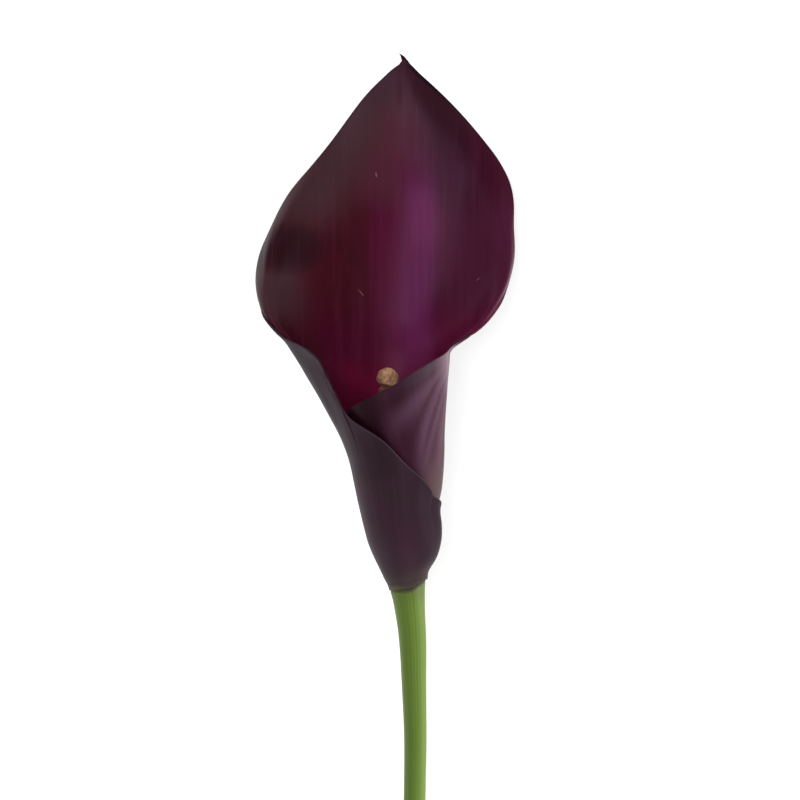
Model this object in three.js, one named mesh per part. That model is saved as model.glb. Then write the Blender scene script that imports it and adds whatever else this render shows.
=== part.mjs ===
// A cut calla lily flower, lying down with its open side up: one rolled leaf (the spathe), the finger inside it
// (the spadix) and the green stalk (the stem). Millimetres, +Z up, floor at z = 0. +Y runs from the cut end to the
// pointed tip, +X to the right of the open mouth.
import * as THREE from 'three';
import { ParametricGeometry } from 'three/addons/geometries/ParametricGeometry.js';
import { mergeVertices } from 'three/addons/utils/BufferGeometryUtils.js';

// ---------------------------------------------------------------- driving dimensions
const UNIT = 0.225;              // mm in one outline unit; the tables below are in outline units
const EYE_ABOVE = 600;           // mm from the outline's viewpoint down to the plane where a unit is true
const TRUE_PLANE = 15;           // mm above the floor, height of that plane
const OUTLINE_CENTRE = 400;      // across and along, the outline's centre
const BASE_LINE = 588;           // along, where the spathe starts on the stem
const BODY_THICKNESS = 0.92;     // mm, the leaf at its back
const WING_THICKNESS = 0.48;     // mm, the leaf where it wraps over itself
const MARGIN_THINNING = 0.58;    // share of the thickness left at the very margin
const EDGE_RADIUS = 0.26;        // mm, round of the leaf's edges
const STEM_GAP = 1.35;           // units between the stem's shoulder and the leaf
const PLUG_RADIUS = 13.0;        // units, the stem's top inside the leaf
const CUT_BEVEL = 0.25;          // mm, broken edge of the stem's cut end

// Tube of the leaf. s is the height above its base: s, centre across, half width, half width of the open back,
// half axis in depth, height of the back line.
const TUBE = [
  [-6, 407.0, 16.6, 16.6, 16.6, 47.4], [0, 406.8, 17.2, 17.2, 17.2, 47.6], [8, 405.4, 18.2, 18.2, 18.2, 48.0],
  [18, 404.0, 21.6, 21.6, 21.6, 46.4], [30, 403.6, 27.0, 27.0, 27.2, 43.0], [48, 402.2, 33.6, 33.6, 33.4, 40.5],
  [68, 400.2, 37.6, 37.6, 36.8, 40.4], [88, 399.1, 41.0, 41.0, 40.3, 39.8], [112, 397.2, 44.6, 44.6, 43.8, 39.4],
  [140, 393.6, 49.6, 50.0, 50.0, 37.0], [180, 385.6, 59.6, 62.0, 60.5, 31.5], [212, 377.6, 69.6, 75.5, 71.0, 24.6],
  [236, 371.6, 78.6, 89.0, 80.0, 18.4], [248, 373.2, 89.6, 98.0, 84.0, 15.6], [262, 376.0, 105.4, 108.0, 87.0, 12.8],
  [280, 378.6, 119.0, 119.0, 89.0, 10.6], [302, 381.4, 129.0, 129.0, 89.0, 8.8], [326, 385.0, 133.5, 133.5, 87.0, 7.2],
  [352, 389.8, 134.5, 134.5, 84.0, 6.0], [380, 396.0, 134.0, 134.0, 80.0, 4.9], [410, 403.6, 134.0, 134.0, 76.0, 3.9],
  [450, 407.4, 134.0, 134.0, 72.0, 2.9], [490, 405.2, 134.0, 134.0, 70.0, 2.2], [533, 403.2, 134.0, 134.0, 70.0, 2.4],
];
// Margin of the leaf, from the end of the outer wing round the tip (0) to the end of the inner wing:
// place, angle at the margin (0 = back, + = right), height of the margin, angle at the leaf's base.
const RIM = [
  [-24.6, -292.0, 40.0, -292], [-24, -290.0, 56.0, -288], [-23, -280.0, 72.0, -277], [-22, -262.0, 83.5, -262],
  [-21, -235.38, 91.5, -248], [-20, -225.46, 98.0, -233], [-19, -208.2, 109.0, -216], [-18, -192.52, 121.5, -198],
  [-17, -179.67, 135.5, -182], [-16, -169.48, 148.5, -166], [-15, -155.58, 159.5, -152], [-14, -142.55, 169.5, -141],
  [-13, -138.8, 182.0, -132], [-12, -138.0, 197.5, -126], [-11, -137.2, 213.5, -119], [-10, -135.0, 229.5, -112],
  [-9, -123.35, 241.0, -103], [-8, -104.54, 249.5, -94], [-7, -89.34, 262.5, -87], [-6, -78.58, 284.0, -80],
  [-5, -72.82, 311.0, -72], [-4, -65.65, 350.5, -62], [-3, -53.96, 399.0, -50], [-2, -36.09, 442.0, -35],
  [-1, -17.84, 491.0, -18], [0, 0, 527.0, 0], [1, 16.93, 492.0, 18], [2, 36.15, 442.0, 35],
  [3, 57.23, 392.0, 50], [4, 71.06, 345.0, 62], [5, 76.83, 310.0, 72], [6, 84.0, 282.0, 80],
  [7, 88.5, 261.0, 87], [8, 94.5, 247.0, 95], [9, 108.0, 235.7, 104], [10, 128.9, 227.0, 113],
  [11, 147.08, 218.0, 121], [12, 162.56, 207.0, 129], [13, 175.1, 199.0, 136], [14, 189.06, 192.0, 142],
  [15, 207.27, 185.0, 148], [16, 226.6, 177.5, 153], [17, 232.0, 165.0, 157], [17.7, 238.0, 150.0, 160],
];
// How the margin turns back: place, drop, width of the turned band, flare, width of the flared band.
const TURN_BACK = [
  [-24.6, 0, 40, 0, 12], [-20, 0, 40, 0.4, 12], [-17, 0, 40, 1, 14], [-14.5, 0, 40, 1.6, 18], [-12, 0, 40, 2.6, 26],
  [-10, 4, 40, 3, 34], [-8, 20, 50, 0, 40], [-6, 40, 62, 0, 40], [-4.5, 42, 66, 0, 40], [-3, 27, 64, 0, 40],
  [-2, 11, 56, 0, 40], [-1, 2.5, 44, 0, 40], [0, 0, 40, 0, 40], [1, 3, 40, 0, 40], [2, 10, 46, 0, 40],
  [3, 20, 54, 0, 40], [4.5, 30, 58, 0, 40], [6, 32, 56, 0, 40], [8, 18, 46, 0, 40], [10, 3, 40, 3, 36],
  [12, 0, 40, 4, 34], [14, 0, 40, 3, 30], [16, 0, 40, 1.5, 20], [17.7, 0, 40, 0, 20],
];
// Stem: height s (below the leaf is negative), centre across, height of the axis, radius.
const STEM = [
  [-800, 366, 12.9, 12.6], [-700, 380, 12.6, 12.3], [-600, 391, 13.0, 12.0], [-500, 400.5, 15.9, 11.6],
  [-400, 407.5, 21.4, 11.2], [-300, 412.2, 29.8, 10.8], [-212, 414.6, 39.4, 10.8], [-152, 415.3, 46.4, 11.3],
  [-118, 415.0, 50.4, 11.7], [-85, 414.4, 54.4, 12.2], [-58, 413.2, 57.6, 13.0], [-40, 411.9, 59.8, 14.0],
  [-22, 409.6, 62.0, 15.7], [-10, 408.0, 63.4, 17.0], [0, 406.8, 64.8, 17.6], [14, 404.6, 66.6, 17.6],
];
// Spadix: height s, centre across, height of the axis, radius.
const SPADIX = [
  [17, 404.6, 67.4, 8.6], [40, 401.6, 71.0, 9.4], [80, 397.2, 75.6, 10.2], [130, 392.8, 79.0, 10.8],
  [180, 389.6, 80.6, 11.2], [205, 388.2, 81.0, 11.4], [221, 387.3, 81.0, 11.4],
];

// ---------------------------------------------------------------- curves through tables
function spline(rows) {          // natural cubic spline, first column against the others
  const n = rows.length, x = rows.map((r) => r[0]), y = rows.map((r) => r.slice(1)), k = y[0].length;
  const h = x.slice(1).map((v, i) => v - x[i]);
  const m = y.map(() => new Array(k).fill(0));
  for (let q = 0; q < k; q++) {
    const a = [], b = [], c = [], d = [];
    for (let i = 0; i < n; i++) {
      if (i === 0 || i === n - 1) { a.push(0); b.push(1); c.push(0); d.push(0); continue; }
      a.push(h[i - 1]); b.push(2 * (h[i - 1] + h[i])); c.push(h[i]);
      d.push(6 * ((y[i + 1][q] - y[i][q]) / h[i] - (y[i][q] - y[i - 1][q]) / h[i - 1]));
    }
    for (let i = 1; i < n; i++) { const w = a[i] / b[i - 1]; b[i] -= w * c[i - 1]; d[i] -= w * d[i - 1]; }
    m[n - 1][q] = d[n - 1] / b[n - 1];
    for (let i = n - 2; i >= 0; i--) m[i][q] = (d[i] - c[i] * m[i + 1][q]) / b[i];
  }
  return (t) => {
    let i = 0;
    while (i < n - 2 && t >= x[i + 1]) i++;
    const e = h[i], b = (t - x[i]) / e, a = 1 - b;
    return y[i].map((v, q) => a * v + b * y[i + 1][q] + ((a ** 3 - a) * m[i][q] + (b ** 3 - b) * m[i + 1][q]) * e * e / 6);
  };
}
const clamp = THREE.MathUtils.clamp, rad = THREE.MathUtils.degToRad;
const ease = (v) => { const x = clamp(v, 0, 1); return x * x * x * (x * (6 * x - 15) + 10); };

const tube = spline(TUBE), turnBack = spline(TURN_BACK), stemLine = spline(STEM), spadixLine = spline(SPADIX);
const rimLeft = spline(RIM.filter((r) => r[0] <= 0)), rimRight = spline(RIM.filter((r) => r[0] >= 0));
const U0 = RIM[0][0], U1 = RIM[RIM.length - 1][0];
const rim = (u) => {
  const r = u < 0 ? rimLeft(u) : rimRight(u);
  r[1] += 8 * Math.max(0, 1 - Math.abs(u) / 0.075);         // the tip's small tail
  return r;
};
const baseLine = (deg) => -1.5 + 11 * Math.max(Math.sin(rad(deg)), 0) ** 1.6;
const steepness = (u) => {       // how steeply the margin runs along the leaf
  const d = 0.05, v = Math.abs(u) < d ? (u < 0 ? -d : d) : u, r0 = rim(Math.max(v - d, U0)), r1 = rim(Math.min(v + d, U1));
  const dp = rad(r1[0] - r0[0]) * tube(rim(v)[1])[1];
  return clamp((r1[1] - r0[1]) / (Math.abs(dp) < 1e-6 ? 1e-6 : dp), -1.6, 1.6);
};
function toMm(x, s, z) {         // outline place and height to millimetres
  const Z = z * UNIT, f = (TRUE_PLANE + EYE_ABOVE - Z) / EYE_ABOVE;
  return new THREE.Vector3((x - OUTLINE_CENTRE) * UNIT * f, (OUTLINE_CENTRE - BASE_LINE + s) * UNIT * f, Z);
}

// ---------------------------------------------------------------- the spathe
const nearTip = (c) => c * (1 - 0.88 * Math.exp(-((c / 0.8) ** 2)));     // strips of the leaf run together at the tip

function leaf(c, t) {            // middle of the leaf: c across from wing to wing, t from base to margin
  const u = nearTip(c), r = rim(u), baseDeg = (c < 0 ? rimLeft(c) : rimRight(c))[2];
  const s0 = baseLine(baseDeg), s = s0 + (r[1] - s0) * t, g = t * t * (3 - 2 * t), deg = baseDeg + (r[0] - baseDeg) * g;
  const [xc, tight, open, b, back] = tube(s);
  const w = ease((Math.abs(deg) - 42) / 40), a = tight * w + open * (1 - w);
  const pitch = 3.0 + 0.7 * ease(s / 40) + 2.2 * ease((s - 70) / 70), off = -pitch * deg / 360;
  const q = rad(deg), [drop, dropBand, flare, flareBand] = turnBack(u), e = (r[1] - s) / Math.hypot(1, steepness(u));
  const turned = drop * clamp(1 - e / dropBand, 0, 1) ** 2.4, flared = flare * clamp(1 - e / flareBand, 0, 1) ** 2;
  let x = xc + (a + off + flared) * Math.sin(q);
  let z = back + b - (b + off + flared) * Math.cos(q) - turned;
  const tail = Math.max(0, s - 524);                         // the tail bends to one side and up
  x -= 0.018 * tail * tail; z += 0.03 * tail * tail;
  return { point: toMm(x, s, z), deg, s, e: e * UNIT };
}

const PER_SIDE = 20;             // rows from base to margin
const COLUMNS = [U0, U0 + 0.14, U0 + 0.42];
for (let i = 0; i <= 37; i++) COLUMNS.push(-23.8 + (22.8 * i) / 37);
COLUMNS.push(-0.66, -0.36, -0.16, 0, 0.16, 0.36, 0.66);
for (let i = 0; i <= 27; i++) COLUMNS.push(1.0 + (16.2 * i) / 27);
COLUMNS.push(U1 - 0.36, U1 - 0.12, U1);

function rowAt(j, c) {           // share of the way from base to margin of row j, closely spaced at both edges
  const L = (rim(nearTip(c))[1] - baseLine((c < 0 ? rimLeft(c) : rimRight(c))[2])) * UNIT, n = PER_SIDE;
  const near = [0, 0.2, 0.8], far = [0, 0.2, 0.7, 2.0];
  if (j < near.length) return near[j] / L;
  if (j > n - far.length) return 1 - far[n - j] / L;
  const w = (j - 2) / (n - 3 - 2), v = 0.45 * w + 0.55 * (1 - (1 - w) ** 1.7);
  return (0.8 + (L - 2.8) * v) / L;
}
function leafThickness(p, c, t) {
  const back = ease((p.deg + 215) / 60) * ease((105 - p.deg) / 60);
  let h = WING_THICKNESS + (BODY_THICKNESS - WING_THICKNESS) * back + (1 - back) * 0.3 * ease((p.s - 95) / 60);
  h *= MARGIN_THINNING + (1 - MARGIN_THINNING) * ease(p.e / 7);
  h *= 0.72 + 0.28 * ease(p.s / 14);
  const L = p.point, side = Math.min(L.distanceTo(leaf(U0, t).point), L.distanceTo(leaf(U1, t).point));
  const atSide = c - U0 < 1.2 || U1 - c < 1.2 ? side : 9;
  const s0 = baseLine((c < 0 ? rimLeft(c) : rimRight(c))[2]);
  const edge = Math.min(p.e, atSide, (p.s - s0) * UNIT);
  return h * Math.sqrt(Math.max(0, 1 - (1 - Math.min(Math.max(edge, 0) / EDGE_RADIUS, 1)) ** 2));
}
function leafSkin(a, b) {        // a across the leaf; b up the outside, over the margin and down the inside
  const i = Math.round(a * (COLUMNS.length - 1)), k = Math.round(b * 2 * PER_SIDE);
  const j = k <= PER_SIDE ? k : 2 * PER_SIDE - k, c = COLUMNS[i], t = rowAt(j, c), p = leaf(c, t);
  if (j === 0 || j === PER_SIDE || i === 0 || i === COLUMNS.length - 1) return p.point;
  const d = 0.012, dt = 0.002, across = leaf(c + d, t).point.sub(leaf(c - d, t).point);
  const along = leaf(c, Math.min(t + dt, 1)).point.sub(leaf(c, Math.max(t - dt, 0)).point);
  const out = along.cross(across).normalize();
  return p.point.addScaledVector(out, (k <= PER_SIDE ? 0.5 : -0.5) * leafThickness(p, c, t));
}

// ---------------------------------------------------------------- round bodies that follow a line
function alongLine(line, slant) {    // the ring at height s, square to the flower's length, tilted by its share of the slant
  return (s, angle, radius, lift) => {
    const v = s + slant(THREE.MathUtils.radToDeg(angle)) * lift, [x, z] = line(v);
    return toMm(x + radius * Math.sin(angle), v, z - radius * Math.cos(angle));
  };
}
function closeSkin(geometry) {   // weld the seams and drop the triangles that the poles collapse
  geometry.deleteAttribute('uv'); geometry.deleteAttribute('normal');
  const g = mergeVertices(geometry, 1e-5), old = g.index.array, keep = [];
  for (let i = 0; i < old.length; i += 3) {
    const [a, b, c] = [old[i], old[i + 1], old[i + 2]];
    if (a !== b && b !== c && c !== a) keep.push(a, b, c);
  }
  g.setIndex(keep);
  const p = g.attributes.position;                           // faces point out when the volume is positive
  let volume = 0;
  const v = [0, 1, 2].map(() => new THREE.Vector3());
  for (let i = 0; i < keep.length; i += 3) {
    v.forEach((q, n) => q.fromBufferAttribute(p, keep[i + n]));
    volume += v[0].dot(v[1].clone().cross(v[2]));
  }
  if (volume < 0) for (let i = 0; i < keep.length; i += 3) [keep[i], keep[i + 1]] = [keep[i + 1], keep[i]];
  g.setIndex(keep);
  g.computeVertexNormals();
  return g;
}

// ---------------------------------------------------------------- the stem
const stemFrom = STEM[0][0];
const slantOfBase = (deg) => 11 * Math.max(Math.sin(rad(deg)), 0) ** 1.6;
const stemPoint = alongLine(stemLine, slantOfBase);
const stemRings = [];            // height, radius or null for the table's, share of the slant
stemRings.push([stemFrom, 0, 0], [stemFrom, -1, 0], [stemFrom + CUT_BEVEL / UNIT, null, 0]);
for (let i = 1; i <= 22; i++) stemRings.push([stemFrom + 6 + ((-66 - stemFrom - 6) * i) / 22, null, 0]);
for (const s of [-52, -40, -30, -21, -13.5, -7.5]) stemRings.push([s, null, ease((s + 60) / 56)]);
stemRings.push([-4.2, 17.3, 1], [-2.9, 16.2, 1], [-2.2, 14.6, 0.96], [-1.7, PLUG_RADIUS, 0.93], [5, PLUG_RADIUS - 0.2, 0.45],
  [10.6, PLUG_RADIUS - 0.8, 0.1], [13.0, PLUG_RADIUS - 2.6, 0], [14, PLUG_RADIUS - 6.4, 0], [14, 0, 0]);
const STEM_SIDES = 18;
function stemSkin(a, b) {
  const [s, r, lift] = stemRings[Math.round(b * (stemRings.length - 1))];
  const own = stemLine(s)[2], radius = r === null ? own : r === -1 ? own - CUT_BEVEL / UNIT : r;
  return stemPoint(s, radius === 0 ? 0 : 2 * Math.PI * (Math.round(a * STEM_SIDES) % STEM_SIDES) / STEM_SIDES, radius, radius === 0 ? 0 : lift);
}

// ---------------------------------------------------------------- the spadix
const spadixFrom = SPADIX[0][0], spadixTo = SPADIX[SPADIX.length - 1][0];
const spadixPoint = alongLine(spadixLine, () => 0);
const spadixRings = [[spadixFrom, 0], [spadixFrom, 5.6], [spadixFrom + 1.0, 7.6], [spadixFrom + 3.0, null]];
for (let i = 1; i <= 12; i++) spadixRings.push([spadixFrom + 3 + ((209.5 - spadixFrom - 3) * i) / 12, null]);
for (const q of [20, 38, 55, 72]) spadixRings.push([209.5 + 11.5 * Math.sin(rad(q)), 11.4 * Math.cos(rad(q))]);
spadixRings.push([spadixTo, 0]);
const SPADIX_SIDES = 14;
function spadixSkin(a, b) {
  const [s, r] = spadixRings[Math.round(b * (spadixRings.length - 1))], radius = r === null ? spadixLine(s)[2] : r;
  return spadixPoint(s, radius === 0 ? 0 : 2 * Math.PI * (Math.round(a * SPADIX_SIDES) % SPADIX_SIDES) / SPADIX_SIDES, radius, 0);
}

// ---------------------------------------------------------------- meshes
function skin(f, slices, stacks) {
  return closeSkin(new ParametricGeometry((a, b, target) => target.copy(f(a, b)), slices, stacks));
}
function piece(name, geometry, colour, roughness) {
  const mesh = new THREE.Mesh(geometry, new THREE.MeshStandardMaterial({ color: colour, roughness, metalness: 0 }));
  mesh.name = name;
  return mesh;
}
const spathe = piece('spathe', skin(leafSkin, COLUMNS.length - 1, 2 * PER_SIDE), 0x521c36, 0.5);
const spadix = piece('spadix', skin(spadixSkin, SPADIX_SIDES, spadixRings.length - 1), 0xa8794e, 0.8);
const stem = piece('stem', skin(stemSkin, STEM_SIDES, stemRings.length - 1), 0x6d8a42, 0.5);

// The leaf's belly touches the floor, and the origin stands under the middle of the flower's box.
const box = new THREE.Box3();
for (const mesh of [spathe, spadix, stem]) { mesh.geometry.computeBoundingBox(); box.union(mesh.geometry.boundingBox); }
const centre = box.getCenter(new THREE.Vector3());
const flower = new THREE.Group();
flower.add(spathe, spadix, stem);
for (const mesh of flower.children) mesh.geometry.translate(-centre.x, -centre.y, -box.min.z);

export default flower;
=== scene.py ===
"""A cut calla lily flower lying on a pale floor, open side up. Metres, same frame as the solids: +Y to the tip, +Z up."""
import math

import bpy
import numpy as np
from mathutils import Matrix, Vector


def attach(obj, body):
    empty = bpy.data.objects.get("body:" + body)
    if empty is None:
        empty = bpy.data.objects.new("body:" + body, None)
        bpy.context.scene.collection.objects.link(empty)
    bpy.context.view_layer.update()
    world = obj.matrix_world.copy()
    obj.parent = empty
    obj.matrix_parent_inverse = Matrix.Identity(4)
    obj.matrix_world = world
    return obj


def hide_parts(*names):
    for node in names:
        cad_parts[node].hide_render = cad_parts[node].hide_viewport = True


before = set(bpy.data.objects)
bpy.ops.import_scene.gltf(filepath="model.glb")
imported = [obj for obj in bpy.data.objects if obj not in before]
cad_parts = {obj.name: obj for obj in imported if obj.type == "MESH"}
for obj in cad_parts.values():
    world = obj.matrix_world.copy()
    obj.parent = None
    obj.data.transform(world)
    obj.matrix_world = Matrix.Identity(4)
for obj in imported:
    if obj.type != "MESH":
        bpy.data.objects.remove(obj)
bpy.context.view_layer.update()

# ------------------------------------------------------------------ dimensions (outline units unless said)
UNIT = 0.225                 # mm in one outline unit
EYE_ABOVE = 600.0            # mm, viewpoint above the plane where a unit is true
TRUE_PLANE = 15.0            # mm above the floor
CENTRE = 400.0
BASE_LINE = 588.0
SHIFT = np.array([3.40412, 73.94507, -0.04961])   # mm, outline frame to row frame
BODY_THICKNESS, WING_THICKNESS, MARGIN_THINNING = 0.92, 0.48, 0.52
STEM_PLUG = 13.0

TUBE = np.array([
    [-6, 407.0, 16.6, 16.6, 16.6, 47.4], [0, 406.8, 17.2, 17.2, 17.2, 47.6], [8, 405.4, 18.2, 18.2, 18.2, 48.0],
    [18, 404.0, 21.6, 21.6, 21.6, 46.4], [30, 403.6, 27.0, 27.0, 27.2, 43.0], [48, 402.2, 33.6, 33.6, 33.4, 40.5],
    [68, 400.2, 37.6, 37.6, 36.8, 40.4], [88, 399.1, 41.0, 41.0, 40.3, 39.8], [112, 397.2, 44.6, 44.6, 43.8, 39.4],
    [140, 393.6, 49.6, 50.0, 50.0, 37.0], [180, 385.6, 59.6, 62.0, 60.5, 31.5], [212, 377.6, 69.6, 75.5, 71.0, 24.6],
    [236, 371.6, 78.6, 89.0, 80.0, 18.4], [248, 373.2, 89.6, 98.0, 84.0, 15.6], [262, 376.0, 105.4, 108.0, 87.0, 12.8],
    [280, 378.6, 119.0, 119.0, 89.0, 10.6], [302, 381.4, 129.0, 129.0, 89.0, 8.8], [326, 385.0, 133.5, 133.5, 87.0, 7.2],
    [352, 389.8, 134.5, 134.5, 84.0, 6.0], [380, 396.0, 134.0, 134.0, 80.0, 4.9], [410, 403.6, 134.0, 134.0, 76.0, 3.9],
    [450, 407.4, 134.0, 134.0, 72.0, 2.9], [490, 405.2, 134.0, 134.0, 70.0, 2.2], [533, 403.2, 134.0, 134.0, 70.0, 2.4],
])
RIM = np.array([
    [-24.6, -292.0, 40.0, -292], [-24, -290.0, 56.0, -288], [-23, -280.0, 72.0, -277], [-22, -262.0, 83.5, -262],
    [-21, -235.38, 91.5, -248], [-20, -225.46, 98.0, -233], [-19, -210.6, 109.0, -216], [-18, -194.1, 121.5, -198],
    [-17, -181.0, 135.5, -182], [-16, -168.4, 148.5, -166], [-15, -151.4, 159.5, -152], [-14, -137.6, 169.5, -141],
    [-13, -133.1, 182.0, -132], [-12, -133.1, 197.5, -126], [-11, -134.3, 213.5, -119], [-10, -134.2, 229.5, -112],
    [-9, -123.35, 241.0, -103], [-8, -104.54, 249.5, -94], [-7, -89.34, 262.5, -87], [-6, -78.58, 284.0, -80],
    [-5, -72.82, 311.0, -72], [-4, -65.65, 350.5, -62], [-3, -53.96, 399.0, -50], [-2, -36.09, 442.0, -35],
    [-1, -17.84, 491.0, -18], [0, 0, 527.0, 0], [1, 16.93, 492.0, 18], [2, 36.15, 442.0, 35],
    [3, 57.23, 392.0, 50], [4, 71.06, 345.0, 62], [5, 76.83, 310.0, 72], [6, 84.0, 282.0, 80],
    [7, 88.5, 261.0, 87], [8, 94.5, 247.0, 95], [9, 108.0, 235.7, 104], [10, 128.9, 227.0, 113],
    [11, 147.08, 218.0, 121], [12, 162.56, 207.0, 129], [13, 175.1, 199.0, 136], [14, 189.06, 192.0, 142],
    [15, 207.27, 185.0, 148], [16, 226.6, 177.5, 153], [17, 232.0, 165.0, 157], [17.7, 238.0, 150.0, 160],
])
TURN_BACK = np.array([
    [-24.6, 0, 40, 0, 12], [-20, 0, 40, 0.4, 12], [-17, 0, 40, 0.8, 16], [-14.5, 0, 40, 0.9, 20], [-12, 0, 40, 1.2, 26],
    [-10, 4, 40, 2.2, 34], [-8, 20, 50, 0, 40], [-6, 40, 62, 0, 40], [-4.5, 42, 66, 0, 40], [-3, 27, 64, 0, 40],
    [-2, 11, 56, 0, 40], [-1, 2.5, 44, 0, 40], [0, 0, 40, 0, 40], [1, 3, 40, 0, 40], [2, 10, 46, 0, 40],
    [3, 20, 54, 0, 40], [4.5, 30, 58, 0, 40], [6, 32, 56, 0, 40], [8, 18, 46, 0, 40], [10, 3, 40, 3, 36],
    [12, 0, 40, 4, 34], [14, 0, 40, 3, 30], [16, 0, 40, 1.5, 20], [17.7, 0, 40, 0, 20],
])
STEM = np.array([
    [-800, 366, 12.9, 12.6], [-700, 380, 12.6, 12.3], [-600, 391, 13.0, 12.0], [-500, 400.5, 15.9, 11.6],
    [-400, 407.5, 21.4, 11.2], [-300, 412.2, 29.8, 10.8], [-212, 414.6, 39.4, 10.8], [-152, 415.3, 46.4, 11.3],
    [-118, 414.7, 50.4, 11.8], [-85, 413.8, 54.4, 12.5], [-58, 412.9, 57.6, 13.3], [-40, 411.8, 59.8, 14.0],
    [-22, 410.0, 62.0, 15.1], [-10, 408.6, 63.4, 16.4], [0, 407.3, 64.8, 17.7], [14, 407.4, 66.6, 18.6],
])
SPADIX = np.array([
    [17, 404.6, 67.4, 8.0], [40, 401.6, 71.0, 8.9], [80, 397.2, 75.6, 9.6], [130, 392.8, 79.0, 10.1],
    [180, 389.6, 80.6, 10.4], [205, 388.2, 81.0, 10.7], [221, 387.3, 81.0, 10.7],
])

# height, outward shift of the right wall, rightward shift of the left wall
WALLS = np.array([
    [-6, 0.8, 0.4], [2, 1.0, 0.4], [10, 1.5, 0.4], [18, 0.6, 0.8], [28, 2.0, 0.8], [38, 2.4, 1.0], [48, 2.2, 1.6],
    [58, 1.6, 2.3], [68, 0.3, 2.4], [78, -1.6, 2.5], [88, -0.9, 2.4], [98, 0.6, 2.6], [108, 1.3, 3.0], [118, 1.6, 3.7],
    [128, 1.5, 4.2], [138, 1.3, 4.3], [148, 0.9, 4.1], [158, 0.8, 3.7], [168, 0.8, 2.9], [178, 0.7, 2.5], [190, 0.2, 2.4],
    [206, 0.1, 2.1], [214, 1.1, 2.0], [222, 2.3, 2.3], [228, 2.2, 2.3], [234, 0.3, 2.2], [240, -1.1, 2.2], [248, 0.6, 2.6],
    [256, 1.9, 1.2], [266, 1.4, 0.0], [280, 0.8, 0.0], [298, 1.2, 0.7], [308, 1.4, 1.3], [320, 1.3, 1.0], [338, 0.8, -0.7],
    [350, -0.1, -0.6], [364, -0.9, 0.1], [380, 0.0, 0.5], [398, 1.2, 0.7], [410, 2.2, 1.2], [420, 2.8, 1.4], [430, 3.3, 0.9],
    [440, 3.0, 0.3], [458, 2.1, 0.1], [478, 1.2, 0.0], [490, 0.2, 0.0], [504, -0.9, 0.0], [516, 0.0, 0.0], [536, 0.0, 0.0],
])


class Spline:
    """natural cubic spline through the rows of a table"""

    def __init__(self, rows):
        x, y = rows[:, 0], rows[:, 1:]
        n, h = len(x), np.diff(rows[:, 0])
        A, r = np.zeros((n, n)), np.zeros((n, y.shape[1]))
        A[0, 0] = A[-1, -1] = 1
        for i in range(1, n - 1):
            A[i, i - 1], A[i, i], A[i, i + 1] = h[i - 1], 2 * (h[i - 1] + h[i]), h[i]
            r[i] = 6 * ((y[i + 1] - y[i]) / h[i] - (y[i] - y[i - 1]) / h[i - 1])
        self.x, self.y, self.m, self.h = x, y, np.linalg.solve(A, r), h

    def __call__(self, t):
        t = np.asarray(t, float)
        i = np.clip(np.searchsorted(self.x, t, side="right") - 1, 0, len(self.x) - 2)
        h = self.h[i][..., None]
        b = (t - self.x[i])[..., None] / h
        a = 1 - b
        return a * self.y[i] + b * self.y[i + 1] + ((a**3 - a) * self.m[i] + (b**3 - b) * self.m[i + 1]) * h * h / 6


def ease(x):
    x = np.clip(x, 0, 1)
    return x * x * x * (x * (6 * x - 15) + 10)


tube, turn_back, stem_line, spadix_line, walls = Spline(TUBE), Spline(TURN_BACK), Spline(STEM), Spline(SPADIX), Spline(WALLS)
rim_left, rim_right = Spline(RIM[RIM[:, 0] <= 0]), Spline(RIM[RIM[:, 0] >= 0])
U0, U1 = RIM[0, 0], RIM[-1, 0]


def rim(u):
    u = np.asarray(u, float)
    r = np.where((u < 0)[..., None], rim_left(np.minimum(u, 0)), rim_right(np.maximum(u, 0)))
    v = np.abs(u)
    r[..., 1] += 7.6 * np.maximum(0, 1 - (v / 0.085) ** 2) + 1.2 * ease(v / 0.1) * ease((0.62 - v) / 0.5)
    return r


def base_deg(c):
    c = np.asarray(c, float)
    return np.where(c < 0, rim_left(np.minimum(c, 0))[..., 2], rim_right(np.maximum(c, 0))[..., 2])


def base_line(deg):
    q = np.sin(np.radians(deg))
    return -1.5 + 11.0 * np.maximum(q, 0) ** 1.6 - 1.0 * np.maximum(-q, 0) ** 1.5


def steepness(u):
    d = 0.05
    v = np.where(np.abs(u) < d, np.where(u < 0, -d, d), u)
    r0, r1 = rim(np.maximum(v - d, U0)), rim(np.minimum(v + d, U1))
    dp = np.radians(r1[..., 0] - r0[..., 0]) * tube(rim(v)[..., 1])[..., 1]
    slope = np.abs(np.clip((r1[..., 1] - r0[..., 1]) / np.where(np.abs(dp) < 1e-6, 1e-6, dp), -1.6, 1.6))
    # held steady round the bend of the outer lip, where it would jump
    hold = np.exp(-(((v + 13.0) / 3.2) ** 4))
    return slope * (1 - hold) + 1.5 * hold


def to_mm(x, s, z):
    Z = z * UNIT
    f = (TRUE_PLANE + EYE_ABOVE - Z) / EYE_ABOVE
    return np.stack([(x - CENTRE) * UNIT * f, (CENTRE - BASE_LINE + s) * UNIT * f, Z], -1) + SHIFT


def near_tip(c):
    return c * (1 - 0.88 * np.exp(-((c / 0.8) ** 2)))


def waves(c, e):
    """slow ripples of the margin, in outline units outwards"""
    k = ease(1 - e / 60.0)
    front = (ease((np.abs(c + 15) - 4) / 3) * 0.6 + 0.4) * (1 - 0.95 * np.exp(-(((c + 12.4) / 3.2) ** 2)))
    return k * front * (0.9 * np.sin(2.3 * c + 0.7) + 0.6 * np.sin(4.1 * c + 2.1)) * ease(np.abs(c) / 2.0)


BEND = rim(np.linspace(-20.5, -5.0, 125))[:, :2]


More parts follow.
